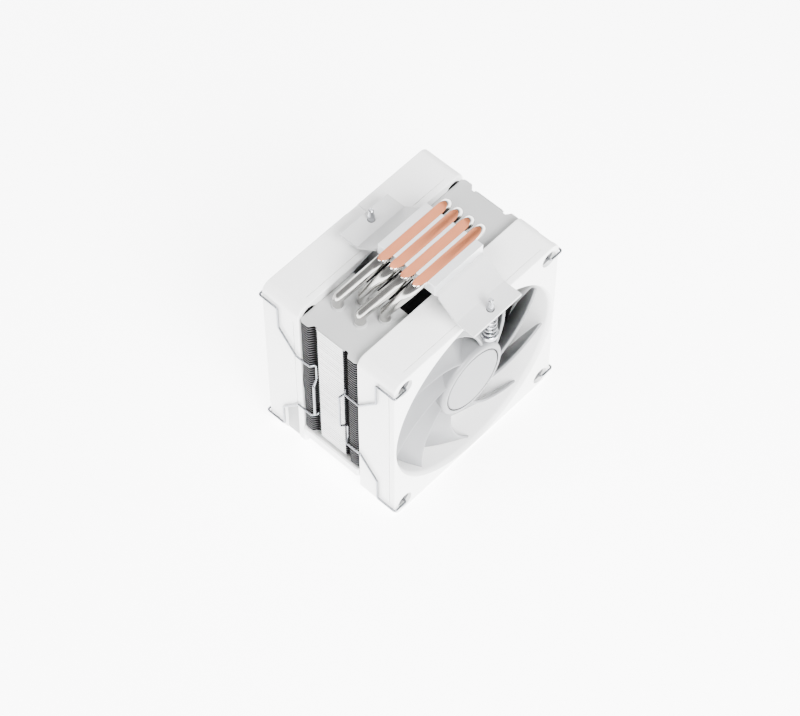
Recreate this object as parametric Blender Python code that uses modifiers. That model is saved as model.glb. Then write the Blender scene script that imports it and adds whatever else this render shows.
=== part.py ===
# Twin-fan tower cooler for a computer processor, upside down: the contact face looks up (+Z).
# The row frame's origin is the centre of the contact face. Pieces are modelled in the stack frame,
# whose z = 0 is the fans' lower edge and whose y = 0 is the middle of the fin stack.
import math

import bmesh
import bpy
from mathutils import Matrix, Vector

MM = 0.001                  # metres in a millimetre
GAP = 0.3                   # clearance between pieces that touch

# Fans
FAN_SIZE = 120.0
FAN_DEPTH = 25.0
FAN_CORNER = 5.5            # radius of the frame's corners
HOLE_PITCH = 105.0
HOLE_RADIUS = 2.15
RECESS_RADIUS = 5.0         # round seat for a clip's hook at each hole
RECESS_DEPTH = 2.0
BORE_RADIUS = 57.6
MOUTH_RADIUS = 58.4         # the bore flares to this at both faces
MOUTH_DEPTH = 2.4
BORE_SIDES = 36
STRUT_COUNT = 4
STRUT_WIDTH = 3.6
STRUT_DEPTH = 3.4
STRUT_LEAN = math.radians(22)
MOTOR_RADIUS = 22.5         # motor base, and the impeller's hub
MOTOR_BASE = 2.6
CABLE_NOTCH_DEPTH = 2.0     # recess for a cable in one side of the frame
CABLE_NOTCH_START = 3.4
CABLE_NOTCH_WIDTH = 10.0
CABLE_NOTCH_LENGTH = 30.0

# Impeller
BLADE_COUNT = 9
BLADE_TIP_GAP = 1.3
BLADE_ROOT_SINK = 0.4       # how far a blade's root goes into the hub's wall
BLADE_THICKNESS = 1.5
BLADE_FRONT = 3.0           # depths behind the intake face
BLADE_BACK = 19.4
BLADE_PHASE = math.radians(8)       # angle of the first blade's root at its leading edge
BLADE_SWEEP = math.radians(42)      # how far the leading edge leads at the tip
BLADE_CHORD_ROOT = math.radians(52)
BLADE_CHORD_TIP = math.radians(38)
HUB_FRONT = 1.8
HUB_BACK = 19.6
HUB_WALL = 1.6
HUB_FACE = 1.9
HUB_ROUND = 2.0
HUB_DISC_RADIUS = 18.6
HUB_DISC_THICKNESS = 0.6

# Motor
SHAFT_RADIUS = 1.5
SHAFT_LENGTH = 18.0
SHAFT_CLEARANCE = 0.1
SLEEVE_WALL = 1.4
SLEEVE_LENGTH = 11.0
TUBE_WALL = 1.7
BOSS_WALL = 2.2
BOSS_DEPTH = 4.2
YOKE_WALL = 1.0
MAGNET_WALL = 2.0
AIR_GAP = 0.7
STATOR_THICKNESS = 7.0
STATOR_POLES = 4
POLE_WIDTH = 4.0
POLE_SHOE = 2.4
POLE_SHOE_ANGLE = math.radians(62)
YOKE_RING = 2.4             # width of the stator's inner ring
COIL_THICKNESS = 1.6
BOARD_THICKNESS = 1.0
RETAINER_THICKNESS = 0.5
CAP_THICKNESS = 1.2
CAP_RADIUS = 6.0

# Fin stack
FIN_COUNT = 10              # each stands for several thin fins, and is as thick as they are together
FIN_THICKNESS = 1.8
STACK_BOTTOM = 20.0
STACK_TOP = 115.0
STACK_DEPTH = 39.0
LOBE_X = 59.8
LOBE_ROUND = 2.2
WALL_X = 58.3               # outer face of the folded tabs
WALL_THICKNESS = 1.2
WALL_HALF = 8.5             # half the width of the folded tabs
NOTCH_Y = 10.5              # middle of the groove that a clip drops into
NOTCH_OUT = 13.2

# End cover
COVER_BOTTOM = 11.5
COVER_TOP = 18.0
COVER_X = 60.7
COVER_WALL = 1.2
COVER_FLOOR = 1.5

# Base block, heat pipes and bridge; y runs from the middle of the base
BASE_Y = -12.5              # the base sits off the middle, towards the front fan
CONTACT_Z = 147.6
BLOCK_X = 17.3
BLOCK_Y = 18.8
BLOCK_HEIGHT = 7.3
PIPE_COUNT = 4
PIPE_PITCH = 7.5
PIPE_RADIUS = 3.0
PIPE_SINK = 1.2             # depth of a pipe's centre below the contact face
PIPE_BEND = 10.0
PIPE_FLARE = 6.0            # bend where a leg turns straight down
PIPE_RUN_OUTER = 22.5       # from the middle to the corner of the bend: first and third pipe, near side
PIPE_RUN_INNER = 24.6       # second and fourth pipe, near side
PIPE_RUN_FAR = 26.5
PIPE_LEG_OUTER = 40.5       # from the middle to the legs
PIPE_LEG_INNER = 30.6
PIPE_LEG_FAR = 28.5
PIPE_KNEE = 121.5
PIPE_END = 14.0
BRIDGE_X = 17.0
BRIDGE_THICKNESS = 1.5
BRIDGE_FLAT = 20.0
BRIDGE_SLOPE_END = 32.5
BRIDGE_END = 44.5
FLANGE_Z = 130.0
BRIDGE_SCREW_X = 12.0
BRIDGE_SCREW_RADIUS = 1.25
BRIDGE_SCREW_HEAD = 2.3
BRIDGE_SCREW_HEAD_HEIGHT = 1.4
BRIDGE_SCREW_BITE = 4.4

# Spring screws
SPRING_SCREW_Y = 39.5
SCREW_RADIUS = 1.8
SCREW_TIP_Z = 139.4
SCREW_CONE = 3.5
SCREW_HEAD_RADIUS = 4.6
SPRING_WIRE = 0.45
SPRING_RADIUS = 3.3
FRONT_SPRING = 15.6
FRONT_HEAD = 3.0
FRONT_TURNS = 5
REAR_SPRING = 5.3
REAR_HEAD = 2.0
REAR_TURNS = 3
RING_THICKNESS = 0.6
RING_WIDTH = 1.2
RING_GROOVE = 0.5

# Clips
WIRE = 0.65
CLIP_PIN = 3.5              # how far a hook reaches into its hole
CLIP_IN = 11.5              # from the fan's outer face to the long straight
CLIP_STRAIGHT = 36.5        # heights from the middle of the fan
CLIP_CROSS = 22.5
HANDLE_LOW = -8.5
HANDLE_HIGH = 17.6
HANDLE_OUT = 4.0
HANDLE_SIDE = 1.6
CLIP_BEND = 1.1

HALF = FAN_SIZE / 2
FAN_INNER_Y = STACK_DEPTH / 2 + GAP
FAN_OUTER_Y = FAN_INNER_Y + FAN_DEPTH


def clear_scene():
    for thing in list(bpy.data.objects):
        bpy.data.objects.remove(thing, do_unlink=True)


def make_collection(name):
    collection = bpy.data.collections.new(name)
    bpy.context.scene.collection.children.link(collection)
    return collection


def material(name, color, roughness, metallic=0.0):
    made = bpy.data.materials.new(name)
    made.use_nodes = True
    shader = made.node_tree.nodes["Principled BSDF"]
    shader.inputs["Base Color"].default_value = (*color, 1.0)
    shader.inputs["Roughness"].default_value = roughness
    shader.inputs["Metallic"].default_value = metallic
    made.diffuse_color = (*color, 1.0)
    return made


def as_object(name, bm):
    """A mesh object from a bmesh in millimetres."""
    bmesh.ops.remove_doubles(bm, verts=bm.verts, dist=0.001)
    bmesh.ops.recalc_face_normals(bm, faces=bm.faces)
    bmesh.ops.scale(bm, vec=(MM, MM, MM), verts=bm.verts)
    mesh = bpy.data.meshes.new(name)
    bm.to_mesh(mesh)
    bm.free()
    made = bpy.data.objects.new(name, mesh)
    cooler.objects.link(made)
    return made


def evaluate(thing):
    """Replace an object by the mesh that its curve and modifiers make."""
    bpy.context.view_layer.update()
    depsgraph = bpy.context.evaluated_depsgraph_get()
    mesh = bpy.data.meshes.new_from_object(thing.evaluated_get(depsgraph))
    name = thing.name
    bpy.data.objects.remove(thing, do_unlink=True)
    bm = bmesh.new()
    bm.from_mesh(mesh)
    bmesh.ops.remove_doubles(bm, verts=bm.verts, dist=0.001 * MM)
    bmesh.ops.scale(bm, vec=(1 / MM,) * 3, verts=bm.verts)
    return as_object(name, bm)


def box(name, low, high):
    bm = bmesh.new()
    bmesh.ops.create_cube(bm, size=1.0)
    size = Vector(high) - Vector(low)
    middle = (Vector(high) + Vector(low)) / 2
    bmesh.ops.scale(bm, vec=size, verts=bm.verts)
    bmesh.ops.translate(bm, vec=middle, verts=bm.verts)
    return as_object(name, bm)


def rod(name, start, end, radius, sides):
    """A cylinder between two points."""
    start, end = Vector(start), Vector(end)
    bm = bmesh.new()
    bmesh.ops.create_cone(
        bm, cap_ends=True, segments=sides, radius1=radius, radius2=radius, depth=(end - start).length
    )
    turn = (end - start).to_track_quat("Z", "Y").to_matrix().to_4x4()
    bmesh.ops.transform(bm, matrix=Matrix.Translation((start + end) / 2) @ turn, verts=bm.verts)
    return as_object(name, bm)


def post(name, place, radius, low, high, sides, phase=0.0):
    """An upright prism; its phase keeps corners of neighbouring holes off one line."""
    made = plate(name, [circle(radius, sides, place, phase)], high - low)
    move(made, (0, 0, low))
    return made


def turned(name, profile, sides=32):
    """A solid of revolution about Z from (radius, height) points."""
    bm = bmesh.new()
    corners = [bm.verts.new((radius, 0.0, height)) for radius, height in profile]
    edges = [bm.edges.new((a, b)) for a, b in zip(corners, corners[1:])]
    if profile[0][0] > 0:
        edges.append(bm.edges.new((corners[-1], corners[0])))
    bmesh.ops.spin(
        bm, geom=corners + edges, cent=(0, 0, 0), axis=(0, 0, 1), angle=math.tau,
        steps=sides, use_merge=True,
    )
    return as_object(name, bm)


def plate(name, loops, thickness):
    """Closed outlines in XY, filled between them and extruded up from z = 0."""
    outline = bpy.data.curves.new(name, "CURVE")
    outline.dimensions = "2D"
    outline.fill_mode = "BOTH"
    outline.extrude = thickness / 2 * MM
    for loop in loops:
        spline = outline.splines.new("POLY")
        spline.points.add(len(loop) - 1)
        for point, (x, y) in zip(spline.points, loop):
            point.co = (x * MM, y * MM, 0.0, 1.0)
        spline.use_cyclic_u = True
    made = bpy.data.objects.new(name, outline)
    cooler.objects.link(made)
    made = evaluate(made)
    move(made, (0, 0, thickness / 2))
    return made


def tube(name, points, radius, resolution=2):
    """A round bar along the points."""
    path = bpy.data.curves.new(name, "CURVE")
    path.dimensions = "3D"
    path.bevel_depth = radius * MM
    path.bevel_resolution = resolution
    path.use_fill_caps = True
    spline = path.splines.new("POLY")
    spline.points.add(len(points) - 1)
    for point, place in zip(spline.points, points):
        point.co = (*(Vector(place) * MM), 1.0)
    made = bpy.data.objects.new(name, path)
    cooler.objects.link(made)
    return evaluate(made)


def move(thing, offset):
    thing.data.transform(Matrix.Translation(Vector(offset) * MM))


def combine(body, tools, operation):
    """Cut tools from a body, or join them to it."""
    for tool in tools:
        modifier = body.modifiers.new("combine", "BOOLEAN")
        modifier.operation = operation
        modifier.solver = "EXACT"
        modifier.object = tool
        tool.hide_render = True
        tool.display_type = "WIRE"
    body = evaluate(body)
    for tool in tools:
        bpy.data.objects.remove(tool, do_unlink=True)
    bm = bmesh.new()
    bm.from_mesh(body.data)
    bmesh.ops.remove_doubles(bm, verts=bm.verts, dist=0.01 * MM)
    bmesh.ops.dissolve_limit(bm, angle_limit=math.radians(0.2), verts=bm.verts, edges=bm.edges)
    bmesh.ops.triangulate(bm, faces=bm.faces)
    bm.to_mesh(body.data)
    bm.free()
    return body


def group(tools):
    """Several tools as one object."""
    bm = bmesh.new()
    for tool in tools:
        bm.from_mesh(tool.data)
        bpy.data.objects.remove(tool, do_unlink=True)
    bmesh.ops.scale(bm, vec=(1 / MM,) * 3, verts=bm.verts)
    return as_object("tools", bm)


def circle(radius, sides, centre=(0.0, 0.0), phase=0.0):
    """Corners of a regular polygon; phase turns it by that share of one side."""
    angles = [math.tau * (k + phase) / sides for k in range(sides)]
    return [(centre[0] + radius * math.cos(angle), centre[1] + radius * math.sin(angle)) for angle in angles]


def rounded_square(half, radius, steps=3):
    points = []
    for quarter in range(4):
        for step in range(steps + 1):
            angle = math.radians(90) * (quarter + step / steps)
            turn = math.radians(90) * quarter + math.radians(45)
            centre = math.sqrt(2) * (half - radius)
            points.append((
                centre * math.cos(turn) + radius * math.cos(angle),
                centre * math.sin(turn) + radius * math.sin(angle),
            ))
    return points


def rounded_path(corners, radius, steps=5):
    """The corners of a path replaced by arcs; radius is one value, or one for each inner corner."""
    corners = [Vector(corner) for corner in corners]
    radii = radius if isinstance(radius, list) else [radius] * (len(corners) - 2)
    points = [corners[0]]
    for before, corner, after, bend in zip(corners, corners[1:], corners[2:], radii):
        back = (before - corner).normalized()
        ahead = (after - corner).normalized()
        half_angle = back.angle(ahead) / 2
        centre = corner + (back + ahead).normalized() * bend / math.sin(half_angle)
        start = corner + back * bend / math.tan(half_angle)
        end = corner + ahead * bend / math.tan(half_angle)
        sweep = math.pi - 2 * half_angle
        for step in range(steps + 1):
            part = step / steps
            arm = (start - centre) * math.sin((1 - part) * sweep) + (end - centre) * math.sin(part * sweep)
            points.append(centre + arm / math.sin(sweep))
    points.append(corners[-1])
    return points


def finish(thing, name, paint, parent):
    """Name, paint and parent a finished piece."""
    thing.name = name
    thing.data.name = name
    thing.data.materials.clear()
    thing.data.materials.append(paint)
    thing.data.shade_smooth()
    thing.data.set_sharp_from_angle(angle=math.radians(35))
    thing.parent = parent
    return thing


def copy(thing, name, parent):
    twin = thing.copy()
    twin.name = name
    twin.parent = parent
    cooler.objects.link(twin)
    return twin


def empty(name, place, turn, parent):
    made = bpy.data.objects.new(name, None)
    cooler.objects.link(made)
    made.parent = parent
    made.matrix_local = Matrix.Translation(Vector(place) * MM) @ turn
    return made


# ---- Fans: modelled about +Z, the way the air flows, from z = 0 at the intake face ----

TUBE_INNER = SHAFT_RADIUS + SHAFT_CLEARANCE + SLEEVE_WALL + GAP
TUBE_OUTER = TUBE_INNER + TUBE_WALL
BASE_FRONT = FAN_DEPTH - MOTOR_BASE
YOKE_OUTER = MOTOR_RADIUS - HUB_WALL - GAP
MAGNET_OUTER = YOKE_OUTER - YOKE_WALL - GAP
MAGNET_INNER = MAGNET_OUTER - MAGNET_WALL
STATOR_OUTER = MAGNET_INNER - AIR_GAP
STATOR_INNER = TUBE_OUTER + GAP
BOSS_OUTER = SHAFT_RADIUS + GAP + BOSS_WALL
HUB_INSIDE = HUB_FRONT + HUB_FACE
BOSS_BACK = HUB_INSIDE + BOSS_DEPTH
YOKE_FRONT = HUB_INSIDE + GAP
SHAFT_FRONT = HUB_INSIDE + GAP
SLEEVE_FRONT = BOSS_BACK + 1.0
SLEEVE_BACK = SLEEVE_FRONT + SLEEVE_LENGTH
STATOR_FRONT = BOSS_BACK + 1.6
BOARD_FRONT = STATOR_FRONT + STATOR_THICKNESS + COIL_THICKNESS + 2 * GAP
RETAINER_FRONT = SLEEVE_BACK + GAP
CAP_FRONT = FAN_DEPTH - CAP_THICKNESS - GAP


def fan_frame():
    holes = [(x, y) for x in (-HOLE_PITCH / 2, HOLE_PITCH / 2) for y in (-HOLE_PITCH / 2, HOLE_PITCH / 2)]
    loops = [rounded_square(HALF, FAN_CORNER)]
    loops += [circle(HOLE_RADIUS, 10, hole, 0.2 * k) for k, hole in enumerate(holes)]
    frame = plate("frame", loops, FAN_DEPTH)
    over = 1.0
    flared = MOUTH_RADIUS + (MOUTH_RADIUS - BORE_RADIUS) / MOUTH_DEPTH * over
    tools = [turned("bore", [
        (0, -over), (flared, -over), (BORE_RADIUS, MOUTH_DEPTH), (BORE_RADIUS, FAN_DEPTH - MOUTH_DEPTH),
        (flared, FAN_DEPTH + over), (0, FAN_DEPTH + over),
    ], BORE_SIDES)]
    for k, hole in enumerate(holes):
        ends = ((-over, RECESS_DEPTH, 0.1), (FAN_DEPTH - RECESS_DEPTH, FAN_DEPTH + over, 0.0))
        for low, high, phase in ends:
            tools.append(post("recess", hole, RECESS_RADIUS, low, high, 12, phase + 0.2 * k))
    tools.append(box(
        "cable_notch",
        (-HALF - over, HALF - CABLE_NOTCH_LENGTH, CABLE_NOTCH_START),
        (-HALF + CABLE_NOTCH_DEPTH, HALF + over, CABLE_NOTCH_START + CABLE_NOTCH_WIDTH),
    ))
    frame = combine(frame, tools, "DIFFERENCE")
    motor = turned("motor_base", [
        (TUBE_INNER, SLEEVE_FRONT - 0.4), (TUBE_OUTER, SLEEVE_FRONT - 0.4),
        (TUBE_OUTER, BASE_FRONT),
        (MOTOR_RADIUS, BASE_FRONT), (MOTOR_RADIUS, FAN_DEPTH),
        (CAP_RADIUS + GAP, FAN_DEPTH), (CAP_RADIUS + GAP, CAP_FRONT - GAP), (TUBE_INNER, CAP_FRONT - GAP),
    ], 24)
    struts = []
    reach = BORE_RADIUS + 1.0
    for k in range(STRUT_COUNT):
        angle = math.tau * (k + 0.5) / STRUT_COUNT
        start = Vector((math.cos(angle), math.sin(angle), 0)) * (MOTOR_RADIUS - 2.0)
        end = Vector((math.cos(angle + STRUT_LEAN), math.sin(angle + STRUT_LEAN), 0)) * reach
        along = (end - start).normalized()
        across = Vector((-along.y, along.x, 0)) * STRUT_WIDTH / 2
        corners = [start - across, end - across, end + across, start + across]
        strut = plate("strut", [[corner.to_2d() for corner in corners]], STRUT_DEPTH)
        move(strut, (0, 0, FAN_DEPTH - STRUT_DEPTH - 0.2))
        struts.append(strut)
    return combine(frame, struts + [motor], "UNION")


def blade(turn):
    """One swept blade: its leading edge leads at the front and its trailing edge follows at the back."""
    across, along = 4, 3
    root = MOTOR_RADIUS - BLADE_ROOT_SINK
    tip = BORE_RADIUS - BLADE_TIP_GAP
    bm = bmesh.new()
    grid = []
    for i in range(across + 1):
        out = i / across
        radius = root + (tip - root) * out
        lead = turn + BLADE_SWEEP * out ** 0.8
        chord = BLADE_CHORD_ROOT + (BLADE_CHORD_TIP - BLADE_CHORD_ROOT) * out
        row = []
        for j in range(along + 1):
            back = j / along
            angle = lead - chord * back
            depth = BLADE_FRONT + (BLADE_BACK - BLADE_FRONT) * back ** 0.85
            row.append(bm.verts.new((radius * math.cos(angle), -radius * math.sin(angle), depth)))
        grid.append(row)
    for lower, upper in zip(grid, grid[1:]):
        for j in range(along):
            bm.faces.new((lower[j], lower[j + 1], upper[j + 1], upper[j]))
    bmesh.ops.recalc_face_normals(bm, faces=bm.faces)
    bmesh.ops.solidify(bm, geom=bm.faces[:], thickness=BLADE_THICKNESS)
    return as_object("blade", bm)


def impeller():
    disc = HUB_DISC_RADIUS + GAP
    disc_floor = HUB_FRONT + HUB_DISC_THICKNESS + GAP
    round_r, round_z = MOTOR_RADIUS - HUB_ROUND, HUB_FRONT + HUB_ROUND
    turns = [math.radians(30 * step) for step in range(4)]
    rounding = [(round_r + HUB_ROUND * math.sin(a), round_z - HUB_ROUND * math.cos(a)) for a in turns]
    hub = turned("hub", [
        (0, disc_floor), (disc, disc_floor), (disc, HUB_FRONT), *rounding,
        (MOTOR_RADIUS, HUB_BACK), (MOTOR_RADIUS - HUB_WALL, HUB_BACK), (MOTOR_RADIUS - HUB_WALL, HUB_INSIDE),
        (BOSS_OUTER, HUB_INSIDE), (BOSS_OUTER, BOSS_BACK), (SHAFT_RADIUS + GAP, BOSS_BACK),
        (SHAFT_RADIUS + GAP, HUB_INSIDE), (0, HUB_INSIDE),
    ], 27)
    blades = [blade(BLADE_PHASE + math.tau * k / BLADE_COUNT) for k in range(BLADE_COUNT)]
    return combine(hub, blades, "UNION")


def stator_core():
    """Laminated core: an inner ring with a T-shaped pole for each coil."""
    ring = STATOR_INNER + YOKE_RING
    shoe = STATOR_OUTER - POLE_SHOE
    half_leg = POLE_WIDTH / 2
    outline = []
    for k in range(STATOR_POLES):
        middle = math.tau * k / STATOR_POLES
        gap = math.tau / STATOR_POLES / 2
        leg_root = math.asin(half_leg / ring)
        leg_tip = math.asin(half_leg / shoe)
        arc = [(ring, -gap), (ring, -leg_root), (shoe, -leg_tip), (shoe, -POLE_SHOE_ANGLE / 2)]
        arc += [(STATOR_OUTER, POLE_SHOE_ANGLE * (step / 6 - 0.5)) for step in range(7)]
        arc += [(shoe, POLE_SHOE_ANGLE / 2), (shoe, leg_tip), (ring, leg_root)]
        outline += [(r * math.cos(middle + a), r * math.sin(middle + a)) for r, a in arc]
    core = plate("stator", [outline, circle(STATOR_INNER, 16)], STATOR_THICKNESS)
    move(core, (0, 0, STATOR_FRONT))
    return core


def stator_coil(turn):
    """A winding around one pole's leg."""
    ring = STATOR_INNER + YOKE_RING
    start = ring + GAP
    end = (STATOR_OUTER - POLE_SHOE) * math.cos(POLE_SHOE_ANGLE / 2) - GAP
    inner = POLE_WIDTH / 2 + GAP
    outer = inner + COIL_THICKNESS
    low = STATOR_FRONT - GAP
    high = STATOR_FRONT + STATOR_THICKNESS + GAP
    coil = box("coil", (start, -outer, low - COIL_THICKNESS), (end, outer, high + COIL_THICKNESS))
    leg = box("leg", (start - 1, -inner, low), (end + 1, inner, high))
    coil = combine(coil, [leg], "DIFFERENCE")
    coil.data.transform(Matrix.Rotation(turn, 4, "Z"))
    return coil


def ring_solid(name, inner, outer, front, back, sides=32):
    return turned(name, [(inner, front), (outer, front), (outer, back), (inner, back)], sides)


def build_fans(root):
    """Both fans from one set of meshes; the front one is turned half a turn about its axis."""
    inner_end = SHAFT_FRONT + SHAFT_LENGTH
    groove = SHAFT_RADIUS - 0.5
    yoke = turned("yoke", [
        (BOSS_OUTER + GAP, YOKE_FRONT), (YOKE_OUTER, YOKE_FRONT), (YOKE_OUTER, HUB_BACK - 0.8),
        (YOKE_OUTER - YOKE_WALL, HUB_BACK - 0.8), (YOKE_OUTER - YOKE_WALL, YOKE_FRONT + YOKE_WALL),
        (BOSS_OUTER + GAP, YOKE_FRONT + YOKE_WALL),
    ], 24)
    retainer_back = RETAINER_FRONT + RETAINER_THICKNESS
    shaft = turned("shaft", [
        (0, SHAFT_FRONT), (SHAFT_RADIUS, SHAFT_FRONT), (SHAFT_RADIUS, RETAINER_FRONT - GAP),
        (groove, RETAINER_FRONT - GAP), (groove, retainer_back + GAP), (SHAFT_RADIUS, retainer_back + GAP),
        (SHAFT_RADIUS, inner_end), (0, inner_end),
    ], 16)
    sleeve = ring_solid(
        "sleeve", SHAFT_RADIUS + SHAFT_CLEARANCE, TUBE_INNER - GAP, SLEEVE_FRONT, SLEEVE_BACK, 16
    )
    retainer = ring_solid(
        "retainer", groove + 0.15, TUBE_INNER - 2 * GAP, RETAINER_FRONT, retainer_back, 16
    )
    magnet = ring_solid(
        "magnet", MAGNET_INNER, MAGNET_OUTER, YOKE_FRONT + YOKE_WALL + GAP, HUB_BACK - 1.0, 24
    )
    board = ring_solid(
        "board", TUBE_OUTER + GAP, STATOR_OUTER, BOARD_FRONT, BOARD_FRONT + BOARD_THICKNESS, 20
    )
    disc = turned("disc", [
        (0, HUB_FRONT), (HUB_DISC_RADIUS, HUB_FRONT), (HUB_DISC_RADIUS, HUB_FRONT + HUB_DISC_THICKNESS),
        (0, HUB_FRONT + HUB_DISC_THICKNESS),
    ], 27)
    cap = turned("cap", [
        (0, CAP_FRONT), (CAP_RADIUS, CAP_FRONT), (CAP_RADIUS, CAP_FRONT + CAP_THICKNESS),
        (0, CAP_FRONT + CAP_THICKNESS),
    ], 16)
    pieces = [
        ("frame", fan_frame(), white_plastic), ("impeller", impeller(), blade_plastic),
        ("hub_disc", disc, grey_disc), ("rotor_yoke", yoke, steel), ("magnet_ring", magnet, ferrite),
        ("shaft", shaft, steel), ("bearing_sleeve", sleeve, brass), ("shaft_retainer", retainer, steel),
        ("stator_core", stator_core(), lamination), ("circuit_board", board, board_green),
        ("rear_cap", cap, white_plastic),
    ]
    for k in range(STATOR_POLES):
        pieces.append((f"stator_coil_{k + 1}", stator_coil(math.tau * k / STATOR_POLES), copper))
    along_y = Matrix.Rotation(math.radians(-90), 4, "X")
    half_turn = Matrix.Rotation(math.pi, 4, "Z")
    front = empty("front_fan_axis", (0, -FAN_OUTER_Y, HALF), along_y @ half_turn, root)
    rear = empty("rear_fan_axis", (0, FAN_INNER_Y, HALF), along_y, root)
    for name, thing, paint in pieces:
        finish(thing, f"front_fan_{name}", paint, front)
        copy(thing, f"rear_fan_{name}", rear)


# ---- Fin stack and end cover ----

def pipe_landing(k):
    """Where pipe k's two legs go down through the fins, in the stack frame."""
    y = PIPE_PITCH * ((PIPE_COUNT - 1) / 2 - k)
    near = PIPE_LEG_OUTER if k % 2 == 0 else PIPE_LEG_INNER
    return (-near, y), (PIPE_LEG_FAR, y)


def fin_outline():
    depth = STACK_DEPTH / 2
    wire_room = WIRE + GAP
    bottom = notch_wire_x() - wire_room
    quarter = [
        (WALL_X - WALL_THICKNESS / 2, NOTCH_Y - wire_room),
        (bottom, NOTCH_Y - wire_room),
        (bottom, NOTCH_Y + wire_room),
        (LOBE_X, NOTCH_OUT),
        (LOBE_X, depth - LOBE_ROUND),
        (LOBE_X - LOBE_ROUND, depth),
    ]
    mirrored = [(-x, y) for x, y in reversed(quarter)]
    top = quarter + mirrored
    return top + [(-x, -y) for x, y in top]


def notch_wire_x():
    """Distance from the middle to a clip's wire where it lies in the groove."""
    return WALL_X - GAP


def fin_stack():
    loops = [fin_outline()]
    sides = 8
    radius = (PIPE_RADIUS + GAP) / math.cos(math.pi / sides)
    for k in range(PIPE_COUNT):
        near, far = pipe_landing(k)
        loops += [circle(radius, sides, near), circle(radius, sides, far, 0.5)]
    pitch = (STACK_TOP - STACK_BOTTOM - FIN_THICKNESS) / (FIN_COUNT - 1)
    fins = []
    for k in range(FIN_COUNT):
        fin = plate("fin", loops, FIN_THICKNESS)
        move(fin, (0, 0, STACK_BOTTOM + pitch * k))
        fins.append(fin)
    stack = group(fins)
    low = COVER_BOTTOM + COVER_FLOOR + GAP
    high = STACK_TOP - FIN_THICKNESS / 2
    walls = []
    for side in (-1, 1):
        inner, outer = sorted((side * (WALL_X - WALL_THICKNESS), side * WALL_X))
        walls.append(box("wall", (inner, -WALL_HALF, low), (outer, WALL_HALF, high)))
    return combine(stack, walls, "UNION")


def end_cover():
    depth = STACK_DEPTH / 2
    cover = box("cover", (-COVER_X, -depth, COVER_BOTTOM), (COVER_X, depth, COVER_TOP))
    inside = box(
        "inside",
        (-COVER_X + COVER_WALL, -depth + COVER_WALL, COVER_BOTTOM + COVER_FLOOR),
        (COVER_X - COVER_WALL, depth - COVER_WALL, COVER_TOP + 1),
    )
    return combine(cover, [inside], "DIFFERENCE")


# ---- Base, heat pipes and bridge ----

def pipe_y(k):
    return BASE_Y + PIPE_PITCH * ((PIPE_COUNT - 1) / 2 - k)


def base_block():
    low = CONTACT_Z - BLOCK_HEIGHT
    block = box("block", (-BLOCK_X, BASE_Y - BLOCK_Y, low), (BLOCK_X, BASE_Y + BLOCK_Y, CONTACT_Z))
    z = CONTACT_Z - PIPE_SINK
    tools = []
    for k in range(PIPE_COUNT):
        start, end = (-BLOCK_X - 1, pipe_y(k), z), (BLOCK_X + 1, pipe_y(k), z)
        tools.append(rod("groove", start, end, PIPE_RADIUS + GAP, 16))
    top = low + BRIDGE_SCREW_BITE + GAP
    for k, place in enumerate(bridge_screw_places()):
        tools.append(post("hole", place, BRIDGE_SCREW_RADIUS + GAP, low - 1, top, 12, 0.2 * k))
    return combine(block, tools, "DIFFERENCE")


def bridge_screw_places():
    grooves = PIPE_PITCH * (PIPE_COUNT - 1) / 2 + PIPE_RADIUS + GAP
    y = (BLOCK_Y + grooves) / 2
    return [(x, BASE_Y + side * y) for x in (-BRIDGE_SCREW_X, BRIDGE_SCREW_X) for side in (-1, 1)]


def heat_pipe(k):
    """A U-shaped pipe, ground flat where it crosses the contact face."""
    (near_x, land_y), (far_x, _) = pipe_landing(k)
    y, z = pipe_y(k), CONTACT_Z - PIPE_SINK
    run = PIPE_RUN_OUTER if k % 2 == 0 else PIPE_RUN_INNER
    route = rounded_path([
        (near_x, land_y, PIPE_END), (near_x, land_y, PIPE_KNEE), (-run, y, z),
        (PIPE_RUN_FAR, y, z), (far_x, land_y, PIPE_KNEE), (far_x, land_y, PIPE_END),
    ], [PIPE_FLARE, PIPE_BEND, PIPE_BEND, PIPE_FLARE], 5)
    pipe = tube("pipe", route, PIPE_RADIUS, 3)
    reach = PIPE_LEG_OUTER + 2 * PIPE_RADIUS
    low = (-reach, y - 2 * PIPE_RADIUS, CONTACT_Z)
    high = (reach, y + 2 * PIPE_RADIUS, CONTACT_Z + PIPE_RADIUS)
    above = box("above", low, high)
    return combine(pipe, [above], "DIFFERENCE")


def bridge_top():
    """Height of the bridge's upper face under the block."""
    return CONTACT_Z - BLOCK_HEIGHT - GAP


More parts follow.
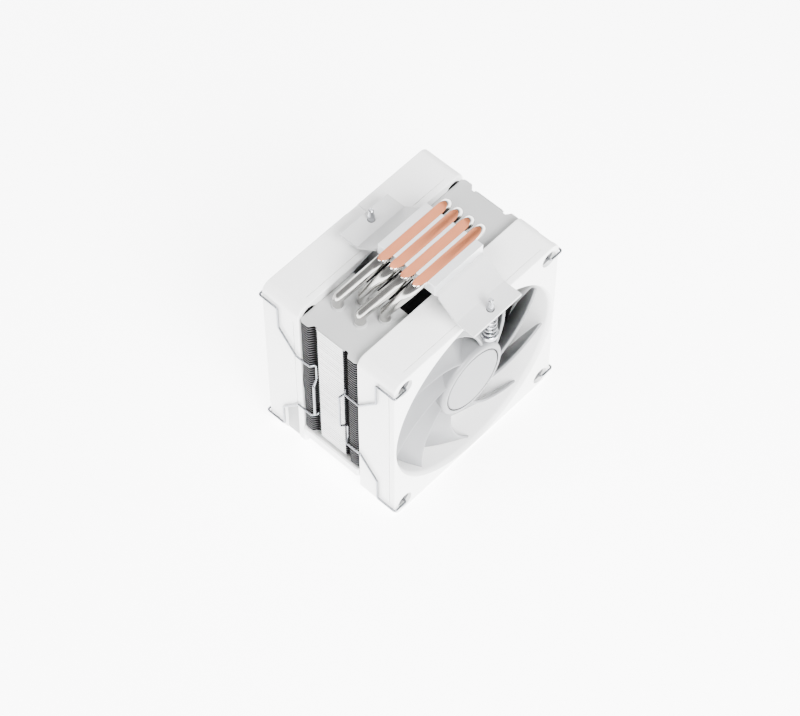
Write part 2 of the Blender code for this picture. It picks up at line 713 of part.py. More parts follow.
def mounting_bridge():
    profile = [
        (-BRIDGE_END, FLANGE_Z), (-BRIDGE_SLOPE_END, FLANGE_Z), (-BRIDGE_FLAT, bridge_top()),
        (BRIDGE_FLAT, bridge_top()), (BRIDGE_SLOPE_END, FLANGE_Z), (BRIDGE_END, FLANGE_Z),
    ]
    bm = bmesh.new()
    line = [bm.verts.new((-BRIDGE_X, BASE_Y + y, z)) for y, z in profile]
    edges = [bm.edges.new(pair) for pair in zip(line, line[1:])]
    swept = bmesh.ops.extrude_edge_only(bm, edges=edges)["geom"]
    far = [item for item in swept if isinstance(item, bmesh.types.BMVert)]
    bmesh.ops.translate(bm, vec=(2 * BRIDGE_X, 0, 0), verts=far)
    bmesh.ops.recalc_face_normals(bm, faces=bm.faces)
    if bm.faces[:][0].normal.z < 0:
        bmesh.ops.reverse_faces(bm, faces=bm.faces)
    sheet = as_open("sheet", bm)
    thick = sheet.modifiers.new("thickness", "SOLIDIFY")
    thick.thickness = BRIDGE_THICKNESS * MM
    thick.offset = -1.0
    thick.use_even_offset = True
    sheet = evaluate(sheet)
    tools = []
    for side in (-1, 1):
        place = (0, BASE_Y + side * SPRING_SCREW_Y)
        tools.append(post("hole", place, SCREW_RADIUS + GAP, FLANGE_Z - 3, FLANGE_Z + 1, 16))
    top = bridge_top()
    for k, place in enumerate(bridge_screw_places()):
        tools.append(post("hole", place, BRIDGE_SCREW_RADIUS + GAP, top - 3, top + 0.2, 12, 0.2 * k))
    return combine(sheet, tools, "DIFFERENCE")


def as_open(name, bm):
    """A sheet in millimetres kept open, with its faces as they point."""
    bmesh.ops.scale(bm, vec=(MM, MM, MM), verts=bm.verts)
    mesh = bpy.data.meshes.new(name)
    bm.to_mesh(mesh)
    bm.free()
    made = bpy.data.objects.new(name, mesh)
    cooler.objects.link(made)
    return made


def bridge_screw():
    """A pan-head screw about its own axis, from z = 0 under the head's seat."""
    neck = BRIDGE_THICKNESS + GAP + BRIDGE_SCREW_BITE + GAP
    return turned("bridge_screw", [
        (0, -BRIDGE_SCREW_HEAD_HEIGHT), (BRIDGE_SCREW_HEAD * 0.8, -BRIDGE_SCREW_HEAD_HEIGHT),
        (BRIDGE_SCREW_HEAD, -BRIDGE_SCREW_HEAD_HEIGHT * 0.6), (BRIDGE_SCREW_HEAD, 0),
        (BRIDGE_SCREW_RADIUS, 0), (BRIDGE_SCREW_RADIUS, neck), (0, neck),
    ], 12)


# ---- Spring screws: modelled about +Z, from z = 0 at the flange's upper face ----

def spring_screw(spring, head):
    under = -BRIDGE_THICKNESS - GAP
    seat = under - spring - GAP
    tip = SCREW_TIP_Z - FLANGE_Z
    groove = SCREW_RADIUS - RING_GROOVE
    ring_top = GAP + RING_THICKNESS
    screw = turned("screw", [
        (0, seat - head), (SCREW_HEAD_RADIUS - 0.6, seat - head), (SCREW_HEAD_RADIUS, seat - head + 0.6),
        (SCREW_HEAD_RADIUS, seat), (SCREW_RADIUS, seat), (SCREW_RADIUS, 0.05), (groove, 0.05),
        (groove, ring_top + GAP), (SCREW_RADIUS, ring_top + GAP), (SCREW_RADIUS, tip - SCREW_CONE),
        (SCREW_RADIUS * 0.55, tip), (0, tip),
    ], 16)
    slot_depth = head * 0.5
    slots = [
        box("slot", (-a, -b, seat - head - 1), (a, b, seat - head + slot_depth))
        for a, b in ((2.6, 0.5), (0.5, 2.6))
    ]
    return combine(screw, slots, "DIFFERENCE")


def screw_spring(length, turns):
    """A compression spring whose wire starts and ends level with its seats."""
    per_turn = 9
    count = turns * per_turn
    rise = length - 2 * SPRING_WIRE
    top = -BRIDGE_THICKNESS - GAP - SPRING_WIRE
    points = []
    for step in range(count + 1):
        angle = math.tau * step / per_turn
        flat = (step / count - 0.5) * 2
        height = top - rise * (0.5 + 0.5 * max(-1.0, min(1.0, flat * 1.12)))
        points.append((SPRING_RADIUS * math.cos(angle), SPRING_RADIUS * math.sin(angle), height))
    return tube("spring", points, SPRING_WIRE, 1)


def retaining_ring():
    """An open ring that snaps into the screw's groove."""
    inner = SCREW_RADIUS - RING_GROOVE + 0.15
    ring = ring_solid("ring", inner, inner + RING_WIDTH, GAP, GAP + RING_THICKNESS, 18)
    mouth = box("mouth", (-0.9, 0, 0), (0.9, inner + RING_WIDTH + 1, 2))
    return combine(ring, [mouth], "DIFFERENCE")


def build_spring_screws(root):
    places = (
        ("front", -1, FRONT_SPRING, FRONT_HEAD, FRONT_TURNS),
        ("rear", 1, REAR_SPRING, REAR_HEAD, REAR_TURNS),
    )
    for name, side, length, head, turns in places:
        axis = empty(f"{name}_screw_axis", (0, BASE_Y + side * SPRING_SCREW_Y, FLANGE_Z), Matrix(), root)
        finish(spring_screw(length, head), f"{name}_spring_screw", steel, axis)
        finish(screw_spring(length, turns), f"{name}_screw_spring", steel, axis)
        finish(retaining_ring(), f"{name}_retaining_ring", steel, axis)


# ---- Fan clips ----

def fan_clip():
    """A bent wire for the front fan's left side, about the hinge line through its two hooks."""
    pivot = Vector((-HOLE_PITCH / 2, -FAN_OUTER_Y, 0))
    side = -HALF - GAP - WIRE
    face = -FAN_OUTER_Y - GAP - WIRE
    inner = -FAN_OUTER_Y + CLIP_IN
    fan_edge = -FAN_INNER_Y - WIRE - 1.3
    shoulder = -NOTCH_OUT + 0.8
    notch = -notch_wire_x()
    hook = HOLE_PITCH / 2

    def leg(sign):
        return [
            (pivot.x, -FAN_OUTER_Y + CLIP_PIN, sign * hook), (pivot.x, face, sign * hook),
            (side, face, sign * hook), (side, inner, sign * hook), (side, inner, sign * CLIP_STRAIGHT),
            (side, fan_edge, sign * CLIP_CROSS), (side, shoulder, sign * CLIP_CROSS),
            (notch, -NOTCH_Y, sign * CLIP_CROSS),
        ]

    out = notch - HANDLE_OUT
    tilt = -NOTCH_Y + HANDLE_SIDE
    handle = [
        (notch, -NOTCH_Y, HANDLE_HIGH + 2), (out, tilt, HANDLE_HIGH),
        (out, tilt, HANDLE_LOW), (notch, -NOTCH_Y, HANDLE_LOW - 2),
    ]
    route = leg(1) + handle + leg(-1)[::-1]
    return tube("clip", [point - pivot for point in rounded_path(route, CLIP_BEND, 2)], WIRE, 1)


def build_clips(root):
    """One wire four times: turned half a turn about each axis of the fan stack."""
    clip = fan_clip()
    middle = Vector((0, 0, HALF))
    pivot = Vector((-HOLE_PITCH / 2, -FAN_OUTER_Y, 0))
    turns = (
        ("front_left", Matrix()), ("front_right", Matrix.Rotation(math.pi, 4, "Y")),
        ("rear_left", Matrix.Rotation(math.pi, 4, "X")), ("rear_right", Matrix.Rotation(math.pi, 4, "Z")),
    )
    finish(clip, "clip", wire_steel, None)
    for name, turn in turns:
        axis = empty(f"{name}_clip_axis", middle + turn @ pivot, turn, root)
        copy(clip, f"{name}_clip", axis)
    bpy.data.objects.remove(clip, do_unlink=True)


clear_scene()
cooler = make_collection("tower_cooler")

white_plastic = material("white_plastic", (0.90, 0.90, 0.90), 0.45)
blade_plastic = material("white_blade_plastic", (0.84, 0.84, 0.84), 0.5)
grey_disc = material("grey_disc", (0.66, 0.67, 0.68), 0.5)
painted_fin = material("white_painted_fins", (0.86, 0.86, 0.86), 0.5)
painted_steel = material("white_painted_steel", (0.86, 0.87, 0.87), 0.45)
aluminium = material("aluminium", (0.80, 0.81, 0.82), 0.35, 1.0)
nickel = material("nickel_plate", (0.78, 0.78, 0.77), 0.18, 1.0)
steel = material("steel", (0.62, 0.62, 0.63), 0.3, 1.0)
wire_steel = material("wire_steel", (0.75, 0.75, 0.76), 0.35, 1.0)
copper = material("copper", (0.74, 0.43, 0.28), 0.35, 1.0)
brass = material("brass", (0.72, 0.58, 0.32), 0.35, 1.0)
ferrite = material("ferrite", (0.08, 0.08, 0.08), 0.7)
lamination = material("lamination", (0.35, 0.35, 0.36), 0.5, 1.0)
board_green = material("circuit_board", (0.05, 0.22, 0.10), 0.5)

stack_frame = empty("stack_frame", (0, -BASE_Y, -CONTACT_Z), Matrix(), None)
finish(base_block(), "base_block", aluminium, stack_frame)
for number in range(PIPE_COUNT):
    finish(heat_pipe(number), f"heat_pipe_{number + 1}", nickel, stack_frame)
finish(fin_stack(), "fin_stack", painted_fin, stack_frame)
finish(end_cover(), "end_cover", white_plastic, stack_frame)
finish(mounting_bridge(), "mounting_bridge", painted_steel, stack_frame)
screw_mesh = finish(bridge_screw(), "bridge_screw", steel, None)
for number, (screw_x, screw_y) in enumerate(bridge_screw_places()):
    seat_z = bridge_top() - BRIDGE_THICKNESS - GAP
    place = empty(f"bridge_screw_{number + 1}_seat", (screw_x, screw_y, seat_z), Matrix(), stack_frame)
    copy(screw_mesh, f"bridge_screw_{number + 1}", place)
bpy.data.objects.remove(screw_mesh, do_unlink=True)
build_spring_screws(stack_frame)
build_fans(stack_frame)
build_clips(stack_frame)
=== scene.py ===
# A white tower cooler with a fan on each side, standing upside down on its fans' edges.
# Everything is modelled in millimetres in the stack's own frame: z = 0 at the fans' edges, y = 0 mid fins.
import math

import bmesh
import bpy
from mathutils import Matrix, Vector


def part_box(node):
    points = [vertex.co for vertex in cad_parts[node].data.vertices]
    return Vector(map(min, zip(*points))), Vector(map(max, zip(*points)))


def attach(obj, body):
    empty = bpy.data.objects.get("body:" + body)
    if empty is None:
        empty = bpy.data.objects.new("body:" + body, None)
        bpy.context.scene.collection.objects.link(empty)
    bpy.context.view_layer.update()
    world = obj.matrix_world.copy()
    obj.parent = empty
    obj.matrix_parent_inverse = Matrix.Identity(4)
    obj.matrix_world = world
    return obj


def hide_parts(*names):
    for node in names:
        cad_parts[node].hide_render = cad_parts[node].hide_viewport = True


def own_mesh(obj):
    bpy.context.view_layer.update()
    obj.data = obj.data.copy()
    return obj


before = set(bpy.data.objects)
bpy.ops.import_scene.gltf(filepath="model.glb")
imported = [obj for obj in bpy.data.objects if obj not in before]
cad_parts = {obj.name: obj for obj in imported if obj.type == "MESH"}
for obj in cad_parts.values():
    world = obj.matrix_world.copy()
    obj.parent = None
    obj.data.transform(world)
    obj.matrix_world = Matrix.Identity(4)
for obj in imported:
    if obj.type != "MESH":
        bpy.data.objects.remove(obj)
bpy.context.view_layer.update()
mm = 0.001
print("stage: frame loaded,", len(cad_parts), "nodes")


def cadBox(node):
    low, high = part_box(node)
    return Vector(low) / mm, Vector(high) / mm


finLow, finHigh = cadBox("fin_stack")
fanLow, fanHigh = cadBox("front_fan_frame")
blockLow, blockHigh = cadBox("base_block")
stackPlace = Matrix.Translation((0, (finLow.y + finHigh.y) / 2, fanLow.z))
fanSize = fanHigh.x - fanLow.x
fanDepth = fanHigh.y - fanLow.y
finDepth = finHigh.y - finLow.y
innerFace = fanHigh.y - stackPlace.translation.y    # the front fan's face at the fins
outerFace = fanLow.y - stackPlace.translation.y     # and the one away from them
contactZ = blockHigh.z - stackPlace.translation.z
baseY = (blockLow.y + blockHigh.y) / 2 - stackPlace.translation.y


def edgesIn(items):
    return [item for item in items if isinstance(item, bmesh.types.BMEdge)]


def vertsIn(items):
    return [item for item in items if isinstance(item, bmesh.types.BMVert)]


def uprightEdges(bm):
    return [edge for edge in bm.edges if abs(edge.verts[0].co.z - edge.verts[1].co.z) > 1]


def newObject(name, bm):
    mesh = bpy.data.meshes.new(name)
    bm.to_mesh(mesh)
    bm.free()
    made = bpy.data.objects.new(name, mesh)
    bpy.context.scene.collection.objects.link(made)
    return made


def copied(shape):
    bm = bmesh.new()
    bm.from_mesh(shape.data)
    return bm


def joined(parts):
    # one bmesh from several
    whole = bmesh.new()
    for part in parts:
        mesh = bpy.data.meshes.new("part")
        part.to_mesh(mesh)
        part.free()
        whole.from_mesh(mesh)
        bpy.data.meshes.remove(mesh)
    return whole


def combined(bm, tools, operation="DIFFERENCE"):
    # cuts the tools away, or joins them on
    body = newObject("body", bm)
    cutters = [newObject("cutter", tool) for tool in tools]
    for cutter in cutters:
        modifier = body.modifiers.new("combine", "BOOLEAN")
        modifier.operation = operation
        modifier.object = cutter
    bpy.context.view_layer.update()
    mesh = bpy.data.meshes.new_from_object(body.evaluated_get(bpy.context.evaluated_depsgraph_get()))
    for thing in [body, *cutters]:
        bpy.data.objects.remove(thing, do_unlink=True)
    result = bmesh.new()
    result.from_mesh(mesh)
    bmesh.ops.remove_doubles(result, verts=result.verts, dist=0.002)
    return result


def finished(name, bm, materials, body, place=stackPlace, replaced=(), sharp=32, weighted=False):
    # puts a finished piece in metres, smooth but for its sharp edges, and ties it to its body
    bmesh.ops.transform(bm, matrix=Matrix.Scale(mm, 4) @ place, verts=bm.verts)
    bmesh.ops.recalc_face_normals(bm, faces=bm.faces)
    piece = newObject(name, bm)
    for material in materials:
        piece.data.materials.append(material)
    piece.data.shade_smooth()
    piece.data.set_sharp_from_angle(angle=math.radians(sharp))
    if weighted:
        modifier = piece.modifiers.new("flat faces stay flat", "WEIGHTED_NORMAL")
        modifier.keep_sharp = True
    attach(piece, body)
    if replaced:
        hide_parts(*replaced)
    return piece


def bevelEdges(bm, edges, offset, segments):
    bmesh.ops.bevel(
        bm, geom=edges, offset=offset, offset_type="OFFSET", segments=segments, profile=0.5,
        affect="EDGES", clamp_overlap=True, material=-1,
    )


def sliced(bm, place, normal, **side):
    # cuts a mesh at a plane, clears one side, and caps the rest with the faces that it gives back
    geom = bm.verts[:] + bm.edges[:] + bm.faces[:]
    cut = bmesh.ops.bisect_plane(bm, geom=geom, dist=0.0001, plane_co=place, plane_no=normal, **side)
    return bmesh.ops.contextual_create(bm, geom=edgesIn(cut["geom_cut"]))["faces"]


def cuboid(low, high, edge=0.0, segments=2):
    bm = bmesh.new()
    bmesh.ops.create_cube(bm, size=1.0)
    bmesh.ops.scale(bm, vec=Vector(high) - Vector(low), verts=bm.verts)
    bmesh.ops.translate(bm, vec=(Vector(high) + Vector(low)) / 2, verts=bm.verts)
    if edge:
        bevelEdges(bm, bm.edges[:], edge, segments)
    return bm


def cylinder(place, radius, low, high, segments=48):
    bm = bmesh.new()
    bmesh.ops.create_cone(
        bm, cap_ends=True, segments=segments, radius1=radius, radius2=radius, depth=high - low
    )
    bmesh.ops.translate(bm, vec=(place[0], place[1], (low + high) / 2), verts=bm.verts)
    return bm


def turned(profile, steps=96, closed=False):
    # a profile of (radius, height) points spun about Z
    bm = bmesh.new()
    points = [bm.verts.new((radius, 0, height)) for radius, height in profile]
    edges = [bm.edges.new(pair) for pair in zip(points, points[1:])]
    if closed:
        edges.append(bm.edges.new((points[-1], points[0])))
    bmesh.ops.spin(
        bm, geom=points + edges, cent=(0, 0, 0), axis=(0, 0, 1), angle=math.tau, steps=steps, use_merge=True
    )
    bmesh.ops.remove_doubles(bm, verts=bm.verts, dist=0.001)
    bmesh.ops.recalc_face_normals(bm, faces=bm.faces)
    return bm


def arc(centre, radius, start, end, steps):
    angles = [math.radians(start + (end - start) * step / steps) for step in range(steps + 1)]
    return [(centre[0] + radius * math.cos(a), centre[1] + radius * math.sin(a)) for a in angles]


def roundedPath(corners, radii, steps):
    # the inner corners of a path replaced by arcs
    corners = [Vector(corner) for corner in corners]
    points = [corners[0]]
    for before, corner, after, bend in zip(corners, corners[1:], corners[2:], radii):
        back = (before - corner).normalized()
        ahead = (after - corner).normalized()
        half = back.angle(ahead) / 2
        centre = corner + (back + ahead).normalized() * bend / math.sin(half)
        start = corner + back * bend / math.tan(half)
        end = corner + ahead * bend / math.tan(half)
        sweep = math.pi - 2 * half
        for step in range(steps + 1):
            part = step / steps
            arm = (start - centre) * math.sin((1 - part) * sweep) + (end - centre) * math.sin(part * sweep)
            points.append(centre + arm / math.sin(sweep))
    return points + [corners[-1]]


def swept(points, radius, segments):
    # a round section carried along the points, capped at both ends
    matrices = []
    side = None
    for k, point in enumerate(points):
        ahead = (points[min(k + 1, len(points) - 1)] - points[max(k - 1, 0)]).normalized()
        side = ahead.orthogonal() if side is None else side - ahead * side.dot(ahead)
        side.normalize()
        turn = Matrix((side, ahead.cross(side), ahead)).transposed().to_4x4()
        matrices.append(Matrix.Translation(point) @ turn)
    bm = bmesh.new()
    bmesh.ops.create_circle(bm, cap_ends=True, segments=segments, radius=radius)
    bmesh.ops.transform(bm, matrix=matrices[0], verts=bm.verts)
    rim = bm.edges[:]
    for last, following in zip(matrices, matrices[1:]):
        grown = bmesh.ops.extrude_edge_only(bm, edges=rim)["geom"]
        rim = edgesIn(grown)
        bmesh.ops.transform(bm, matrix=following @ last.inverted(), verts=vertsIn(grown))
    bmesh.ops.contextual_create(bm, geom=rim)
    bmesh.ops.recalc_face_normals(bm, faces=bm.faces)
    return bm


def plate(loops, low, high):
    # flat outlines filled between them and given a thickness
    bm = bmesh.new()
    edges = []
    for loop in loops:
        points = [bm.verts.new((x, y, low)) for x, y in loop]
        edges += [bm.edges.new((points[k - 1], points[k])) for k in range(len(points))]
    bmesh.ops.triangle_fill(bm, use_beauty=True, edges=edges)
    top = bmesh.ops.extrude_face_region(bm, geom=bm.faces[:])["geom"]
    bmesh.ops.translate(bm, vec=(0, 0, high - low), verts=vertsIn(top))
    bmesh.ops.recalc_face_normals(bm, faces=bm.faces)
    return bm


def toLinear(colour):
    channels = [int(colour[k:k + 2], 16) / 255 for k in (1, 3, 5)]
    return [c / 12.92 if c <= 0.04045 else ((c + 0.055) / 1.055) ** 2.4 for c in channels] + [1.0]


def addNode(tree, kind, settings, links=()):
    node = tree.nodes.new(kind)
    for key, value in settings.items():
        if hasattr(node, str(key)):
            setattr(node, key, value)
        else:
            node.inputs[key].default_value = value
    for key, source in dict(links).items():
        tree.links.new(source, node.inputs[key])
    return node


def newMaterial(name, roughness, metallic=0.0):
    material = bpy.data.materials.new(name)
    material.use_nodes = True
    shader = material.node_tree.nodes["Principled BSDF"]
    shader.inputs["Roughness"].default_value = roughness
    shader.inputs["Metallic"].default_value = metallic
    return material, material.node_tree, shader


def deepShade(tree, where, colour, deep):
    # painted shade: the coat keeps its drawn colour on the plate at the fins' end, is drawn grey on the fins'
    # outer edges and near black between the fins, where they shade each other
    split = addNode(tree, "ShaderNodeSeparateXYZ", {}, {"Vector": where}).outputs
    side = addNode(tree, "ShaderNodeMath", {"operation": "ABSOLUTE"}, {0: split["X"]}).outputs[0]
    edge = addNode(
        tree, "ShaderNodeMapRange",
        {"From Min": deep["from"] * mm, "From Max": deep["to"] * mm}, {"Value": side},
    ).outputs["Result"]
    normal = addNode(tree, "ShaderNodeTexCoord", {}).outputs["Normal"]
    upright = addNode(tree, "ShaderNodeSeparateXYZ", {}, {"Vector": normal}).outputs["Z"]
    upright = addNode(tree, "ShaderNodeMath", {"operation": "ABSOLUTE"}, {0: upright}).outputs[0]
    upright = addNode(tree, "ShaderNodeMath", {"operation": "LESS_THAN", 1: 0.5}, {0: upright}).outputs[0]
    edge = addNode(tree, "ShaderNodeMath", {"operation": "MULTIPLY"}, {0: edge, 1: upright}).outputs[0]
    end = addNode(
        tree, "ShaderNodeMath", {"operation": "GREATER_THAN", 1: deep["plate"] * mm}, {0: split["Z"]}
    ).outputs[0]
    edge = addNode(
        tree, "ShaderNodeMix", {"data_type": "RGBA", 6: toLinear(deep["colour"]), 7: toLinear(deep["edge"])},
        {0: edge},
    ).outputs[2]
    return addNode(tree, "ShaderNodeMix", {"data_type": "RGBA"}, {0: end, 6: edge, 7: colour}).outputs[2]


def patterned(name, look, stretch=(1, 1, 1), deep=None, specular=0.5):
    # colour drifts over a few centimetres, and a fine grain gives bump and roughness; sizes in mm
    material, tree, shader = newMaterial(name, look["roughness"], look.get("metallic", 0.0))
    shader.inputs["Specular IOR Level"].default_value = specular
    where = addNode(tree, "ShaderNodeTexCoord", {}).outputs["Object"]
    drift = addNode(
        tree, "ShaderNodeTexNoise", {"Scale": 1 / (look["drift"] * mm), "Detail": 3.0}, {"Vector": where}
    )
    shade = addNode(
        tree, "ShaderNodeMix",
        {"data_type": "RGBA", 6: toLinear(look["colours"][0]), 7: toLinear(look["colours"][1])},
        {0: drift.outputs["Fac"]},
    )
    colour = shade.outputs[2]
    if deep:
        colour = deepShade(tree, where, colour, deep)
    tree.links.new(colour, shader.inputs["Base Color"])
    across = addNode(tree, "ShaderNodeMapping", {"Scale": stretch}, {"Vector": where})
    grain = addNode(
        tree, "ShaderNodeTexNoise", {"Scale": 1 / (look["grain"] * mm), "Detail": 4.0, "Roughness": 0.6},
        {"Vector": across.outputs["Vector"]},
    )
    spread = addNode(
        tree, "ShaderNodeMapRange",
        {"From Min": 0.3, "From Max": 0.7, "To Min": look["roughness"] - look["vary"],
         "To Max": look["roughness"] + look["vary"]},
        {"Value": grain.outputs["Fac"]},
    )
    tree.links.new(spread.outputs["Result"], shader.inputs["Roughness"])
    bump = addNode(
        tree, "ShaderNodeBump", {"Strength": look["relief"], "Distance": look["height"] * mm},
        {"Height": grain.outputs["Fac"]},
    )
    tree.links.new(bump.outputs["Normal"], shader.inputs["Normal"])
    return material


# Real grains are a few hundredths of a millimetre: drawn about ten times as coarse here, so that they show.
# moulded ABS with a fine spark-eroded grain: satin, no direction
whiteAbs = patterned("white moulded ABS", dict(
    colours=("#f4f4f4", "#f1f1f0"), drift=22, grain=0.45, roughness=0.42, vary=0.05, relief=0.25, height=0.02))
# the impellers' filled nylon is greyer than the frames and a little glossier, and is drawn darker still as
# painted shade
bladeNylonAndShade = patterned("white filled nylon with painted shade", dict(
    colours=("#7f8082", "#78797b"), drift=18, grain=0.6, roughness=0.38, vary=0.05, relief=0.2, height=0.02))
# a printed and lacquered foil disc on the hub, light grey and drawn darker still as painted shade
hubFoilAndShade = patterned("light grey lacquered foil with painted shade", dict(
    colours=("#757678", "#717274"), drift=14, grain=0.5, roughness=0.35, vary=0.04, relief=0.12, height=0.01))
# white powder coat on the fins: satin with a slight orange peel; drawn mid grey, darker than the same coat on
# the tabs, grey on the outer edges and near black between the fins, all painted shade
finCoatAndShade = patterned("white powder coat on aluminium and painted shade", dict(
    colours=("#a6a6a6", "#a1a2a2"), drift=25, grain=1.1, roughness=0.45, vary=0.06, relief=0.3, height=0.03),
    deep={"colour": "#050506", "edge": "#58585a", "from": 57.2, "to": 59.0, "plate": finHigh.z - 0.2},
    specular=0.08)
# the tabs folded down from the fins' ends, which close up into a light wall
foldedCoat = patterned("white powder coat on folded tabs", dict(
    colours=("#f2f2f2", "#eeefef"), drift=25, grain=1.1, roughness=0.45, vary=0.06, relief=0.3, height=0.03))
# the same coat on the steel bridge, thicker and greyer
bridgeCoat = patterned("light grey powder coat on steel", dict(
    colours=("#c2c2c3", "#bdbebe"), drift=16, grain=0.9, roughness=0.42, vary=0.06, relief=0.3, height=0.03))
# fly-cut aluminium: faint lines along the pipes, drawn wider apart than a cutter leaves them
milledAluminium = patterned("fly-cut aluminium", dict(
    colours=("#f6f7f8", "#f1f2f4"), drift=12, grain=0.25, roughness=0.45, vary=0.08, relief=0.25, height=0.01,
    metallic=1.0), stretch=(0.03, 1, 1))
# bright nickel over copper: mirror-like, with the faint waves of a drawn and bent tube
nickelPlate = patterned("bright nickel plate", dict(
    colours=("#b9b8b5", "#adaca9"), drift=9, grain=5.0, roughness=0.14, vary=0.04, relief=0.35, height=0.05,
    metallic=1.0))
# copper ground flat with the block: the same lines, and a colour that drifts a little
groundCopper = patterned("ground copper", dict(
    colours=("#de8c66", "#d8865e"), drift=10, grain=0.22, roughness=0.44, vary=0.08, relief=0.25, height=0.01,
    metallic=1.0), stretch=(0.03, 1, 1))
# zinc-plated steel of the screws and springs
zincSteel = patterned("zinc-plated steel", dict(
    colours=("#a9aaad", "#9b9da0"), drift=3, grain=0.5, roughness=0.22, vary=0.05, relief=0.2, height=0.01,
    metallic=1.0))
# drawn spring wire: bright, a little darker than the zinc
springWire = patterned("drawn spring wire", dict(
    colours=("#85878b", "#797b7f"), drift=6, grain=0.4, roughness=0.24, vary=0.05, relief=0.2, height=0.008,
    metallic=1.0))
# burnished spring steel of the retaining rings
darkSteel = patterned("phosphated spring steel", dict(
    colours=("#151516", "#1f1f21"), drift=2, grain=0.3, roughness=0.45, vary=0.08, relief=0.3, height=0.01))
# soft pads round the mounting holes at the fans' corners, drawn dark as painted shade in the recesses and down
# the holes
padsAndHoleShade = patterned("grey silicone pad and painted hole shade", dict(
    colours=("#4a4b4c", "#535455"), drift=2, grain=0.4, roughness=0.6, vary=0.05, relief=0.3, height=0.02))
# the floor of the cable's notch is white ABS drawn grey as painted shade, with a coarser, duller grain
notchShade = patterned("white ABS with painted notch shade", dict(
    colours=("#9fa0a0", "#a5a6a6"), drift=9, grain=0.5, roughness=0.6, vary=0.05, relief=0.5, height=0.03))
# the narrow groove round the foil disc is drawn darker: painted shade
shadeAbs = patterned("painted groove shade", dict(
    colours=("#3f4042", "#47484a"), drift=9, grain=0.5, roughness=0.5, vary=0.05, relief=0.2, height=0.02))
# inside the motors
motorSteel = patterned("rolled steel", dict(
    colours=("#a9abae", "#96989b"), drift=8, grain=0.4, roughness=0.35, vary=0.08, relief=0.3, height=0.01,
    metallic=1.0))
bondedFerrite = patterned("bonded ferrite", dict(
    colours=("#242425", "#2d2d2e"), drift=4, grain=0.3, roughness=0.7, vary=0.08, relief=0.4, height=0.02))
sinteredBronze = patterned("sintered bronze", dict(
    colours=("#b08d52", "#9a7a45"), drift=3, grain=0.25, roughness=0.45, vary=0.1, relief=0.5, height=0.02,
    metallic=1.0))
siliconSteel = patterned("stacked silicon steel", dict(
    colours=("#6f7276", "#5f6266"), drift=5, grain=0.5, roughness=0.45, vary=0.08, relief=0.6, height=0.05,
    metallic=1.0), stretch=(0.05, 1, 0.05))
enamelledWire = patterned("enamelled copper wire", dict(
    colours=("#a8562c", "#8f4422"), drift=3, grain=0.35, roughness=0.3, vary=0.08, relief=0.8, height=0.1,
    metallic=0.6), stretch=(0.1, 1, 1))
epoxyBoard = patterned("green glass-epoxy board", dict(
    colours=("#1f5a33", "#194d2b"), drift=4, grain=0.4, roughness=0.35, vary=0.05, relief=0.3, height=0.02))
print("stage: materials")


fan = dict(
    corner=5.5, edge=0.7, bore=57.6, mouth=58.9, mouthDepth=3.2, holePitch=105.0, holeRadius=2.15,
    recessRadius=5.0, recessDepth=2.0, lineDepth=3.4, lineWidth=0.6, lineCut=0.7, lineLength=100.0,
    notchCut=2.0, notchStart=3.4, notchEnd=13.4, notchLong=38.0, notchShort=23.0,
    slotStart=0.5, slotEnd=8.5, slotLong=6.3, slotCut=0.9, over=1.0,
    struts=4, strutWidth=3.6, strutDepth=3.4, strutLean=22.0, strutDrop=0.2, strutRound=0.9,
    strutRoot=2, strutTip=1,
    motorRadius=22.5, motorDepth=2.6, motorChamfer=0.6, tubeInner=3.3, tubeOuter=5.0, tubeFront=9.4,
    capRadius=6.3, capDepth=1.8,
    # the motor base's outlet face, as steps in from its rim and down from the face
    motorRim=((0, 1.0), (0.3, 0.3), (1.0, 0), (2.6, 0), (2.8, 0.3)),
)


